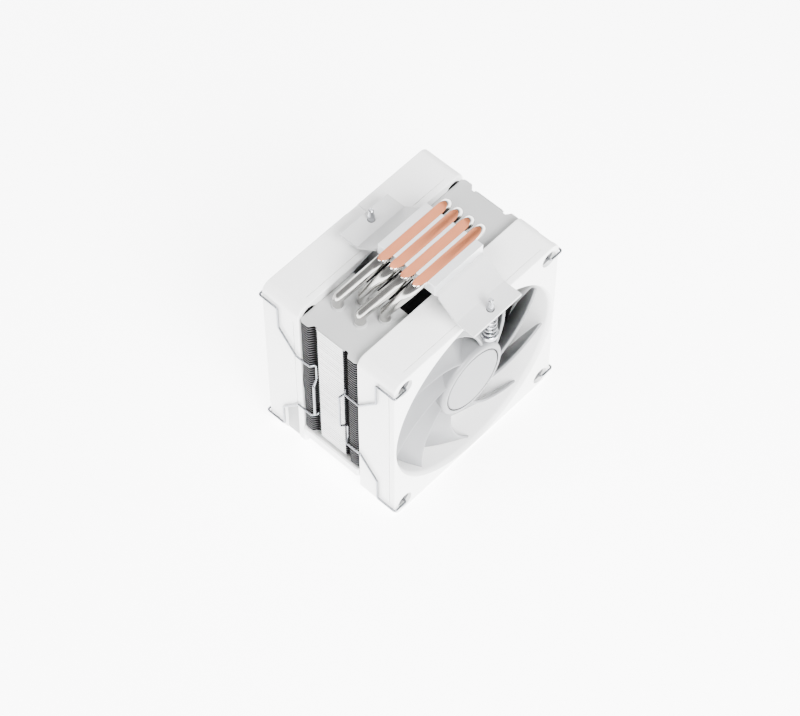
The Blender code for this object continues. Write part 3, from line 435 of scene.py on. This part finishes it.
def fanFrame():
    half, over, recess = fanSize / 2, fan["over"], fan["recessRadius"]
    bm = cuboid((-half, -half, 0), (half, half, fanDepth))
    bevelEdges(bm, uprightEdges(bm), fan["corner"], 8)
    rims = [edge for edge in bm.edges if abs(edge.verts[0].co.z - edge.verts[1].co.z) < 0.01]
    bevelEdges(bm, rims, fan["edge"], 3)
    flare = fan["mouth"] - fan["bore"]
    wide = fan["mouth"] + 0.2
    lip = [1 - step / 5 for step in range(6)]
    front = [(fan["bore"] + flare * part ** 2, fan["mouthDepth"] * (1 - part)) for part in lip]
    back = [(radius, fanDepth - height) for radius, height in reversed(front)]
    bore = [(0, -over), (wide, -over)] + front + back + [(wide, fanDepth + over), (0, fanDepth + over)]
    tools = [turned(bore, 128)]
    reach = fan["holePitch"] / 2
    for x in (-reach, reach):
        for y in (-reach, reach):
            tools.append(cylinder((x, y), fan["holeRadius"], -over, fanDepth + over, 32))
            tools.append(cylinder((x, y), recess, -over, fan["recessDepth"], 40))
            tools.append(cylinder((x, y), recess, fanDepth - fan["recessDepth"], fanDepth + over, 40))
    for quarter in range(4):
        line = cuboid(
            (half - fan["lineCut"], -fan["lineLength"] / 2, fan["lineDepth"]),
            (half + over, fan["lineLength"] / 2, fan["lineDepth"] + fan["lineWidth"]),
        )
        bmesh.ops.rotate(line, matrix=Matrix.Rotation(math.radians(90 * quarter), 3, "Z"), verts=line.verts)
        tools.append(line)
    # the cable's notch in one side, cut off at a slant
    notch = plate([[
        (fan["notchStart"], half + over), (fan["notchStart"], half - fan["notchLong"]),
        (fan["notchEnd"], half - fan["notchShort"]), (fan["notchEnd"], half + over),
    ]], 0, fan["notchCut"] + over)
    turn = Matrix(((0, 0, 1), (0, 1, 0), (1, 0, 0))).to_4x4()
    bmesh.ops.transform(notch, matrix=Matrix.Translation((-half - over, 0, 0)) @ turn, verts=notch.verts)
    bmesh.ops.recalc_face_normals(notch, faces=notch.faces)
    tools.append(notch)
    # and the slot where it leaves the outlet face
    tools.append(cuboid((fan["slotStart"], -half - over, fanDepth - fan["slotLong"]),
                        (fan["slotEnd"], -half + fan["slotCut"], fanDepth + over)))
    body = combined(bm, tools)
    radius, chamfer, cap = fan["motorRadius"], fan["motorChamfer"], fan["capRadius"]
    front, capFloor = fanDepth - fan["motorDepth"], fanDepth - fan["capDepth"]
    inner, outer, tubeEnd = fan["tubeInner"], fan["tubeOuter"], fan["tubeFront"]
    motor = [(inner, tubeEnd), (outer, tubeEnd), (outer, front)]
    motor += [(radius - chamfer, front), (radius, front + chamfer)]
    motor += [(radius - inward, fanDepth - down) for inward, down in fan["motorRim"]]
    motor += [(cap + 0.4, fanDepth - 0.3), (cap, fanDepth - 0.5), (cap, capFloor), (inner, capFloor)]
    parts = [turned(motor, 96, closed=True)]
    for k in range(fan["struts"]):
        angle = math.tau * (k + 0.5) / fan["struts"]
        lean = math.radians(fan["strutLean"])
        start = Vector((math.cos(angle), math.sin(angle), 0)) * (radius - fan["strutRoot"])
        end = Vector((math.cos(angle + lean), math.sin(angle + lean), 0)) * (fan["bore"] + fan["strutTip"])
        low = (0, -fan["strutWidth"] / 2, fanDepth - fan["strutDepth"] - fan["strutDrop"])
        high = ((end - start).length, fan["strutWidth"] / 2, fanDepth - fan["strutDrop"])
        strut = cuboid(low, high, fan["strutRound"], 4)
        spin = Matrix.Rotation(math.atan2(end.y - start.y, end.x - start.x), 4, "Z")
        bmesh.ops.transform(strut, matrix=Matrix.Translation(start) @ spin, verts=strut.verts)
        parts.append(strut)
    whole = combined(body, parts, "UNION")
    # the pads in the holes and recesses are the second material, drawn dark as painted shade; the notch's
    # floor, drawn grey as painted shade, is the third
    for face in whole.faces:
        middle = face.calc_center_median()
        away = math.hypot(abs(middle.x) - reach, abs(middle.y) - reach)
        under = abs(face.normal.z) > 0.9 and min(middle.z, fanDepth - middle.z) > fan["recessDepth"] - 0.1
        if away < recess + 0.05 and (under or away < fan["holeRadius"] + 0.1):
            face.material_index = 1
        # the notch's floor gets the painted shade
        sunk = abs(middle.x + half - fan["notchCut"]) < 0.05 and abs(middle.y) < half - 6
        if sunk and face.normal.x < -0.9:
            face.material_index = 2
    return whole


impeller = dict(
    blades=9, phase=8.0, sweep=42.0, chordRoot=52.0, chordTip=38.0, rootRadius=22.1, tipRadius=56.3,
    front=3.0, back=19.4, thickness=1.5, across=22, along=16, edge=0.45,
    hubRadius=22.5, hubFront=1.8, hubBack=19.6, hubWall=1.6, hubFace=1.9, hubRound=2.4, hubChamfer=0.2,
    discRadius=18.4, grooveRadius=19.2, grooveDepth=1.3, discThick=0.6, discChamfer=0.3,
)


def blade(number):
    # a grid bent along the blade: it leads at the front edge and winds back to the rear one
    bm = bmesh.new()
    bmesh.ops.create_grid(bm, x_segments=impeller["across"], y_segments=impeller["along"], size=1.0)
    for vert in bm.verts:
        out, back = (vert.co.x + 1) / 2, (vert.co.y + 1) / 2
        radius = impeller["rootRadius"] + (impeller["tipRadius"] - impeller["rootRadius"]) * out
        lead = impeller["phase"] + 360 * number / impeller["blades"] + impeller["sweep"] * out ** 0.8
        chord = impeller["chordRoot"] + (impeller["chordTip"] - impeller["chordRoot"]) * out
        angle = math.radians(lead - chord * back)
        depth = impeller["front"] + (impeller["back"] - impeller["front"]) * back ** 0.85
        vert.co = (radius * math.cos(angle), -radius * math.sin(angle), depth)
    bmesh.ops.recalc_face_normals(bm, faces=bm.faces)
    bmesh.ops.solidify(bm, geom=bm.faces[:], thickness=impeller["thickness"])
    sharp = math.radians(60)
    rim = [edge for edge in bm.edges if len(edge.link_faces) == 2 and edge.calc_face_angle() > sharp]
    bevelEdges(bm, rim, impeller["edge"], 3)
    return bm


def hub():
    radius, front, back, bend = (impeller[key] for key in ("hubRadius", "hubFront", "hubBack", "hubRound"))
    inner = radius - impeller["hubWall"]
    inside = front + impeller["hubFace"]
    groove, chamfer = impeller["grooveRadius"], impeller["hubChamfer"]
    floor = front + impeller["grooveDepth"]
    profile = [(0, floor), (groove, floor), (groove, front + chamfer), (groove + chamfer, front)]
    profile += arc((radius - bend, front + bend), bend, -90, 0, 8)
    profile += [(radius, back), (inner, back), (inner, inside), (0, inside)]
    bm = turned(profile, 128)
    # the groove's floor and wall are the second material, painted shade
    for face in bm.faces:
        middle = face.calc_center_median()
        if math.hypot(middle.x, middle.y) < groove and middle.z < floor + 0.1:
            face.material_index = 1
    return bm


def hubDisc():
    radius, front, chamfer = impeller["discRadius"], impeller["hubFront"], impeller["discChamfer"]
    back = front + impeller["discThick"] + chamfer
    return turned([
        (0, front), (radius - chamfer, front), (radius, front + chamfer), (radius, back), (0, back),
    ], 128)


def fanPlace(end):
    low, high = cadBox(f"{end}_fan_frame")
    middle = Vector(((low.x + high.x) / 2, low.y, (low.z + high.z) / 2))
    turn = Matrix.Rotation(math.radians(-90), 4, "X")
    if end == "front":
        turn = turn @ Matrix.Rotation(math.pi, 4, "Z")
    return Matrix.Translation(middle) @ turn


frameMesh = newObject("frame shape", fanFrame())
bladesMesh = newObject("impeller shape", joined([hub()] + [blade(k) for k in range(impeller["blades"])]))


for end in ("front", "rear"):
    place = fanPlace(end)
    finished(f"{end}_frame_shell", copied(frameMesh), [whiteAbs, padsAndHoleShade, notchShade], "cooler", place,
             [f"{end}_fan_frame"], 30, True)
    finished(f"{end}_impeller_shell", copied(bladesMesh), [bladeNylonAndShade, shadeAbs], f"{end}_rotor", place,
             [f"{end}_fan_impeller"], 40)
    finished(f"{end}_hub_foil", hubDisc(), [hubFoilAndShade], f"{end}_rotor", place,
             [f"{end}_fan_hub_disc"], 40)
bpy.data.objects.remove(frameMesh, do_unlink=True)
bpy.data.objects.remove(bladesMesh, do_unlink=True)
print("stage: fans")


fins = dict(
    count=48, thick=0.45, bottom=20.0, top=115.0, lobe=59.8, lobeRound=2.2, wall=58.3, wallHalf=8.5,
    wallThick=0.5, grooveMiddle=10.5, grooveHalf=0.95, grooveDepth=1.25, grooveOut=13.2, holeRadius=3.3,
    tabGap=0.95, clearHalf=21.0, cleared=2,
    # the drawn collar that grips the pipe, as steps out from it and up from the last fin
    collar=((0.05, -0.3), (0.05, 1.5), (0.35, 1.5), (0.45, 0.6), (0.6, 0.25), (0.9, 0.02), (0.9, -0.3)),
)
pipe = dict(
    count=4, pitch=7.5, radius=3.0, sink=1.2, bend=10.0, flare=6.0, runOuter=22.5, runInner=24.6, runFar=26.5,
    legOuter=40.5, legInner=30.6, legFar=28.5, knee=121.5, end=14.0, segments=40,
)


def pipeLegs(k):
    y = pipe["pitch"] * ((pipe["count"] - 1) / 2 - k)
    near = pipe["legOuter"] if k % 2 == 0 else pipe["legInner"]
    return (-near, y), (pipe["legFar"], y)


def finOutline():
    half, bend = finDepth / 2, fins["lobeRound"]
    near, far = fins["grooveMiddle"] - fins["grooveHalf"], fins["grooveMiddle"] + fins["grooveHalf"]
    bottom = fins["wall"] - fins["grooveDepth"]
    quarter = [(fins["wall"] - fins["wallThick"] / 2, near), (bottom, near), (bottom, far)]
    quarter += [(fins["lobe"] - 0.4, fins["grooveOut"] - 0.1), (fins["lobe"], fins["grooveOut"] + 0.4)]
    quarter += arc((fins["lobe"] - bend, half - bend), bend, 0, 90, 5)
    upper = quarter + [(-x, y) for x, y in reversed(quarter)]
    return upper + [(-x, -y) for x, y in upper]


def halves(shape):
    # the fins next to the block stop short of the middle
    parts = []
    for side in (-1, 1):
        leaf = copied(shape)
        sliced(leaf, (side * fins["clearHalf"], 0, 0), (side, 0, 0), clear_inner=True)
        parts.append(leaf)
    return joined(parts)


def finStack():
    places = [place for k in range(pipe["count"]) for place in pipeLegs(k)]
    holes = [arc(place, fins["holeRadius"], 0, 342, 19) for place in places]
    thick, top = fins["thick"], fins["top"]
    pitch = (top - fins["bottom"] - thick) / (fins["count"] - 1)
    shape = newObject("fin shape", plate([finOutline()] + holes, 0, thick))
    parts = []
    for k in range(fins["count"]):
        low = fins["bottom"] + pitch * k
        leaf = halves(shape) if k >= fins["count"] - fins["cleared"] else copied(shape)
        bmesh.ops.translate(leaf, vec=(0, 0, low), verts=leaf.verts)
        parts.append(leaf)
        for side in (-1, 1):
            inner, outer = sorted((side * (fins["wall"] - fins["wallThick"]), side * fins["wall"]))
            high = low + thick if k else low + thick + 0.01
            start = low - pitch + thick + fins["tabGap"]
            tab = cuboid((inner, -fins["wallHalf"], start), (outer, fins["wallHalf"], high))
            for face in tab.faces:
                face.material_index = 1
            parts.append(tab)
    bpy.data.objects.remove(shape, do_unlink=True)
    for place in places:
        collar = turned([(pipe["radius"] + out, top + up) for out, up in fins["collar"]], 32, closed=True)
        bmesh.ops.translate(collar, vec=(*place, 0), verts=collar.verts)
        parts.append(collar)
    return joined(parts)


finished("pressed_fins", finStack(), [finCoatAndShade, foldedCoat], "cooler", replaced=["fin_stack"],
         sharp=35)

past = 2    # how far a cutting tool runs past the surface it cuts
cover = dict(wall=1.2, floor=1.5, corner=1.6, under=0.9, inside=0.4)
coverLow, coverHigh = cadBox("end_cover")


def endCover():
    low = coverLow - stackPlace.translation
    high = coverHigh - stackPlace.translation
    bm = cuboid(low, high)
    bevelEdges(bm, uprightEdges(bm), cover["corner"], 5)
    under = [edge for edge in bm.edges if max(vert.co.z for vert in edge.verts) < low.z + 0.01]
    bevelEdges(bm, under, cover["under"], 4)
    wall = cover["wall"]
    inside = (high.x - wall, high.y - wall, high.z + past)
    room = cuboid(low + Vector((wall, wall, cover["floor"])), inside, cover["inside"], 2)
    return combined(bm, [room])


finished("end_cover_tray", endCover(), [whiteAbs], "cooler", replaced=["end_cover"],
         sharp=30, weighted=True)
print("stage: fins")


def pipeY(k):
    return baseY + pipe["pitch"] * ((pipe["count"] - 1) / 2 - k)


def heatPipe(k):
    (nearX, landY), (farX, landY) = pipeLegs(k)
    y, z = pipeY(k), contactZ - pipe["sink"]
    run = pipe["runOuter"] if k % 2 == 0 else pipe["runInner"]
    route = roundedPath([
        (nearX, landY, pipe["end"]), (nearX, landY, pipe["knee"]), (-run, y, z),
        (pipe["runFar"], y, z), (farX, landY, pipe["knee"]), (farX, landY, pipe["end"]),
    ], [pipe["flare"], pipe["bend"], pipe["bend"], pipe["flare"]], 16)
    bm = swept(route, pipe["radius"], pipe["segments"])
    # ground flat at the contact face, where the copper shows
    for face in sliced(bm, (0, 0, contactZ), (0, 0, 1), clear_outer=True):
        face.material_index = 1
    return bm


for k in range(pipe["count"]):
    finished(f"bent_pipe_{k + 1}", heatPipe(k), [nickelPlate, groundCopper], "cooler",
             replaced=[f"heat_pipe_{k + 1}"], sharp=40)

block = dict(edge=0.25, room=0.06)


def baseBlock():
    low = blockLow - stackPlace.translation
    high = blockHigh - stackPlace.translation
    bm = cuboid(low, high, block["edge"], 2)
    tools = []
    for k in range(pipe["count"]):
        groove = cylinder((0, 0), pipe["radius"] + block["room"], low.x - past, high.x + past, 64)
        along = Matrix.Translation((0, pipeY(k), contactZ - pipe["sink"]))
        along = along @ Matrix.Rotation(math.radians(90), 4, "Y")
        bmesh.ops.transform(groove, matrix=along, verts=groove.verts)
        tools.append(groove)
    return combined(bm, tools)


finished("milled_block", baseBlock(), [milledAluminium], "cooler", replaced=["base_block"],
         sharp=28, weighted=True)

bridge = dict(
    half=17.0, thick=1.5, flat=20.0, slopeEnd=32.5, end=44.5, flangeZ=130.0, gap=0.3, bend=1.6,
    screwY=39.5, holeRadius=2.1, notch=1.6,
)


def mountingBridge():
    top = blockLow.z - stackPlace.translation.z - bridge["gap"]
    line = roundedPath([
        (0, -bridge["end"], bridge["flangeZ"]), (0, -bridge["slopeEnd"], bridge["flangeZ"]),
        (0, -bridge["flat"], top), (0, bridge["flat"], top),
        (0, bridge["slopeEnd"], bridge["flangeZ"]), (0, bridge["end"], bridge["flangeZ"]),
    ], [bridge["bend"]] * 4, 6)
    bm = bmesh.new()
    points = [bm.verts.new((-bridge["half"], baseY + p.y, p.z)) for p in line]
    edges = [bm.edges.new(pair) for pair in zip(points, points[1:])]
    swath = bmesh.ops.extrude_edge_only(bm, edges=edges)["geom"]
    bmesh.ops.translate(bm, vec=(2 * bridge["half"], 0, 0), verts=vertsIn(swath))
    bmesh.ops.recalc_face_normals(bm, faces=bm.faces)
    if bm.faces[:][0].normal.z > 0:
        bmesh.ops.reverse_faces(bm, faces=bm.faces)
    bmesh.ops.solidify(bm, geom=bm.faces[:], thickness=bridge["thick"])
    tools = []
    for side in (-1, 1):
        place = (0, baseY + side * bridge["screwY"])
        low, high = bridge["flangeZ"] - 2 * past, bridge["flangeZ"] + past
        tools.append(cylinder(place, bridge["holeRadius"], low, high, 40))
        for edge in (-1, 1):
            # relief notches where the slope is folded down
            place = (edge * bridge["half"], baseY + side * bridge["flat"])
            tools.append(cylinder(place, bridge["notch"] / 2, top - 2 * past, top + past, 6))
    return combined(bm, tools)


finished("folded_bridge", mountingBridge(), [bridgeCoat], "cooler", replaced=["mounting_bridge"],
         sharp=35, weighted=True)
print("stage: base")


screw = dict(
    radius=1.8, tip=9.4, cone=3.5, headRadius=4.6, gap=0.3, groove=0.5, neck=0.05,
    thread=1.3, pitch=0.6, depth=0.14, slotLong=2.6, slotWide=0.5,
    wire=0.45, coil=3.3, perTurn=28, closing=1.12,
    ringWidth=1.3, ringThick=0.6, ringRoom=0.15, ringChamfer=0.12, ringMouth=0.9,
    # the head's outline, as steps in from its side and up from its face
    head=((0.7, 0), (0.2, 0.25), (0, 0.8)),
    ends=dict(
        front=dict(spring=15.6, head=3.0, turns=5, travel=6.0),
        rear=dict(spring=5.3, head=2.0, turns=3, travel=2.0),
    ),
)


def springScrew(spring, head):
    radius, wide, tip, thread = (screw[key] for key in ("radius", "headRadius", "tip", "thread"))
    seat = -bridge["thick"] - 2 * screw["gap"] - spring
    ringTop = screw["gap"] + screw["ringThick"] + screw["gap"]
    profile = [(0, seat - head)] + [(wide - inward, seat - head + up) for inward, up in screw["head"]]
    neck, core = screw["neck"], radius - screw["groove"]
    profile += [(wide, seat - 0.3), (wide - 0.3, seat), (radius, seat), (radius, neck)]
    profile += [(core, neck), (core, ringTop), (radius, ringTop)]
    # a plain shank that narrows to a rolled thread, drawn as rings
    start = tip - screw["cone"]
    profile += [(radius, start - 1.2), (radius - 0.1, start - 1.0), (thread, start)]
    count = int((tip - 0.5 - start) / screw["pitch"])
    for step in range(count):
        low = start + screw["pitch"] * step
        profile += [(thread - screw["depth"], low + screw["pitch"] * 0.5), (thread, low + screw["pitch"])]
    profile += [(thread, tip - 0.35), (thread - 0.35, tip), (0, tip)]
    body = turned(profile, 40)
    # a cross slot, half the head deep
    cross = ((screw["slotLong"], screw["slotWide"]), (screw["slotWide"], screw["slotLong"]))
    return combined(body, [cuboid((-x, -y, seat - head - 1), (x, y, seat - head * 0.5)) for x, y in cross])


def screwSpring(length, turns):
    # the first and last part of a turn lie flat
    count = turns * screw["perTurn"]
    rise = length - 2 * screw["wire"]
    top = -bridge["thick"] - screw["gap"] - screw["wire"]
    points = []
    for step in range(count + 1):
        angle = math.tau * step / screw["perTurn"]
        level = max(-1.0, min(1.0, (step / count - 0.5) * 2 * screw["closing"]))
        height = top - rise * (0.5 + 0.5 * level)
        points.append(Vector((screw["coil"] * math.cos(angle), screw["coil"] * math.sin(angle), height)))
    return swept(points, screw["wire"], 12)


def retainingRing():
    inner = screw["radius"] - screw["groove"] + screw["ringRoom"]
    outer, chamfer = inner + screw["ringWidth"], screw["ringChamfer"]
    low, high = screw["gap"], screw["gap"] + screw["ringThick"]
    ring = turned([
        (inner, low), (outer - chamfer, low), (outer, low + chamfer),
        (outer, high - chamfer), (outer - chamfer, high), (inner, high),
    ], 48, closed=True)
    return combined(ring, [cuboid((-screw["ringMouth"], 0, 0), (screw["ringMouth"], outer + 1, past))])


for end, side in (("front", -1), ("rear", 1)):
    sizes = screw["ends"][end]
    place = stackPlace @ Matrix.Translation((0, baseY + side * bridge["screwY"], bridge["flangeZ"]))
    finished(f"{end}_stud", springScrew(sizes["spring"], sizes["head"]), [zincSteel], f"{end}_screw", place,
             [f"{end}_spring_screw"], 30)
    spring = finished(f"{end}_coil", screwSpring(sizes["spring"], sizes["turns"]), [zincSteel], "cooler", place,
                      [f"{end}_screw_spring"], 60)
    finished(f"{end}_clip_ring", retainingRing(), [darkSteel], f"{end}_screw_lift", place,
             [f"{end}_retaining_ring"], 30)
    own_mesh(spring)
print("stage: spring screws")


clip = dict(
    wire=0.65, gap=0.3, pin=3.5, inward=11.5, straight=36.5, cross=22.5, low=-8.5, high=17.6,
    out=4.0, side=1.6, shoulder=0.8, step=1.3, ramp=2, bend=1.1, segments=14,
    slack=0.02,    # the wire is drawn this much thinner, to stay inside the part's own outline
)


def fanClip():
    # the front fan's left one: two hooks in the fan's holes, two runs over the fins, a handle between them
    half = fanSize / 2
    hook = fan["holePitch"] / 2
    side = -half - clip["gap"] - clip["wire"]
    face = outerFace - clip["gap"] - clip["wire"]
    inner = outerFace + clip["inward"]
    edge = innerFace - clip["wire"] - clip["step"]
    shoulder = -fins["grooveOut"] + clip["shoulder"]
    notch = -fins["wall"] + clip["gap"]
    lane = -fins["grooveMiddle"]

    def leg(sign):
        end, cross = sign * hook, sign * clip["cross"]
        return [
            (-hook, outerFace + clip["pin"], end), (-hook, face, end), (side, face, end), (side, inner, end),
            (side, inner, sign * clip["straight"]), (side, edge, cross), (side, shoulder, cross),
            (notch, lane, cross),
        ]

    out, tilt = notch - clip["out"], lane + clip["side"]
    handle = [
        (notch, lane, clip["high"] + clip["ramp"]), (out, tilt, clip["high"]), (out, tilt, clip["low"]),
        (notch, lane, clip["low"] - clip["ramp"]),
    ]
    route = leg(1) + handle + leg(-1)[::-1]
    path = roundedPath(route, [clip["bend"]] * (len(route) - 2), 6)
    return swept(path, clip["wire"] - clip["slack"], clip["segments"])


# the other three are the first one turned half round
for name, axis in (("front_left", None), ("front_right", "Y"), ("rear_left", "X"), ("rear_right", "Z")):
    turn = Matrix.Rotation(math.pi, 4, axis) if axis else Matrix()
    place = stackPlace @ Matrix.Translation((0, 0, fanSize / 2)) @ turn
    finished(f"{name}_wire", fanClip(), [springWire], f"{name}_clip", place, [f"{name}_clip"], 60)
print("stage: clips")


kept = {
    "bridge_screw": zincSteel, "rotor_yoke": motorSteel, "magnet_ring": bondedFerrite, "shaft": motorSteel,
    "bearing_sleeve": sinteredBronze, "stator_core": siliconSteel, "circuit_board": epoxyBoard,
    "rear_cap": whiteAbs, "stator_coil": enamelledWire,
}
for name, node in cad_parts.items():
    for key, material in kept.items():
        if key in name and node.material_slots:
            for slot in node.material_slots:
                slot.material = material
print("stage: kept pieces")


# metres from here on
sweep = dict(half=4.0, drop=0.0002, roughness=0.9, start=0.4, end=1.1, bright=5.6, dim=1.0, colour="#ffffff")


def addFloor():
    # white paper with a painted glow, bright round the cooler and fading away from it
    bm = bmesh.new()
    bmesh.ops.create_grid(bm, x_segments=1, y_segments=1, size=sweep["half"])
    bmesh.ops.translate(bm, vec=(0, 0, fanLow.z * mm - sweep["drop"]), verts=bm.verts)
    floor = newObject("pale floor", bm)
    material, tree, shader = newMaterial("white paper sweep with painted glow", sweep["roughness"])
    shader.inputs["Base Color"].default_value = toLinear(sweep["colour"])
    where = addNode(tree, "ShaderNodeTexCoord", {}).outputs["Object"]
    away = addNode(tree, "ShaderNodeVectorMath", {"operation": "LENGTH"}, {0: where}).outputs["Value"]
    glow = addNode(
        tree, "ShaderNodeMapRange",
        {"interpolation_type": "SMOOTHSTEP", "From Min": sweep["start"], "From Max": sweep["end"],
         "To Min": sweep["bright"], "To Max": sweep["dim"]},
        {"Value": away},
    ).outputs["Result"]
    tree.links.new(glow, shader.inputs["Emission Strength"])
    shader.inputs["Emission Color"].default_value = toLinear(sweep["colour"])
    floor.data.materials.append(material)


lamps = dict(
    aim=(0, 0.0125, -0.07),
    key=dict(place=(-0.3, -1.0, 0.85), size=0.8, power=78.0),
    back=dict(place=(0.6, 0.5, 1.3), size=0.8, power=8.0),
    over=dict(place=(-0.5, 0.25, 1.3), size=0.7, power=27.0),
)


def addLight(name):
    place, size, power = lamps[name].values()
    light = bpy.data.lights.new(name, "AREA")
    light.shape = "DISK"
    light.size = size
    light.energy = power
    lamp = bpy.data.objects.new(name, light)
    bpy.context.scene.collection.objects.link(lamp)
    lamp.location = place
    aim = Vector(lamps["aim"]) - Vector(place)
    lamp.rotation_euler = aim.to_track_quat("-Z", "Y").to_euler()


sky = dict(low="#ffffff", high="#8c8c8e", end=0.9, strength=0.7)


def addWorld():
    world = bpy.data.worlds.new("soft studio")
    bpy.context.scene.world = world
    world.use_nodes = True
    tree = world.node_tree
    where = addNode(tree, "ShaderNodeTexCoord", {}).outputs["Generated"]
    height = addNode(tree, "ShaderNodeSeparateXYZ", {}, {"Vector": where}).outputs["Z"]
    ramp = addNode(tree, "ShaderNodeValToRGB", {}, {"Fac": height})
    ramp.color_ramp.elements[0].color = toLinear(sky["low"])
    ramp.color_ramp.elements[1].color = toLinear(sky["high"])
    ramp.color_ramp.elements[1].position = sky["end"]
    tree.links.new(ramp.outputs["Color"], tree.nodes["Background"].inputs["Color"])
    tree.nodes["Background"].inputs["Strength"].default_value = sky["strength"]


view = dict(
    place=(-0.5572, -0.5002, 1.0191), yaw=43.04, pitch=56.19, lens=117.8, sensor=36.0, near=0.05, far=20.0,
)


def addCamera():
    data = bpy.data.cameras.new("camera")
    data.sensor_width = view["sensor"]
    data.sensor_fit = "HORIZONTAL"
    data.lens = view["lens"]
    data.clip_start, data.clip_end = view["near"], view["far"]
    camera = bpy.data.objects.new("camera", data)
    bpy.context.scene.collection.objects.link(camera)
    camera.location = view["place"]
    yaw, pitch = math.radians(view["yaw"]), math.radians(view["pitch"])
    ahead = Vector((math.cos(yaw) * math.cos(pitch), math.sin(yaw) * math.cos(pitch), -math.sin(pitch)))
    camera.rotation_euler = ahead.to_track_quat("-Z", "Y").to_euler()
    bpy.context.scene.camera = camera


addFloor()
addWorld()
for name in ("key", "back", "over"):
    addLight(name)
addCamera()
print("stage: floor, light and camera")
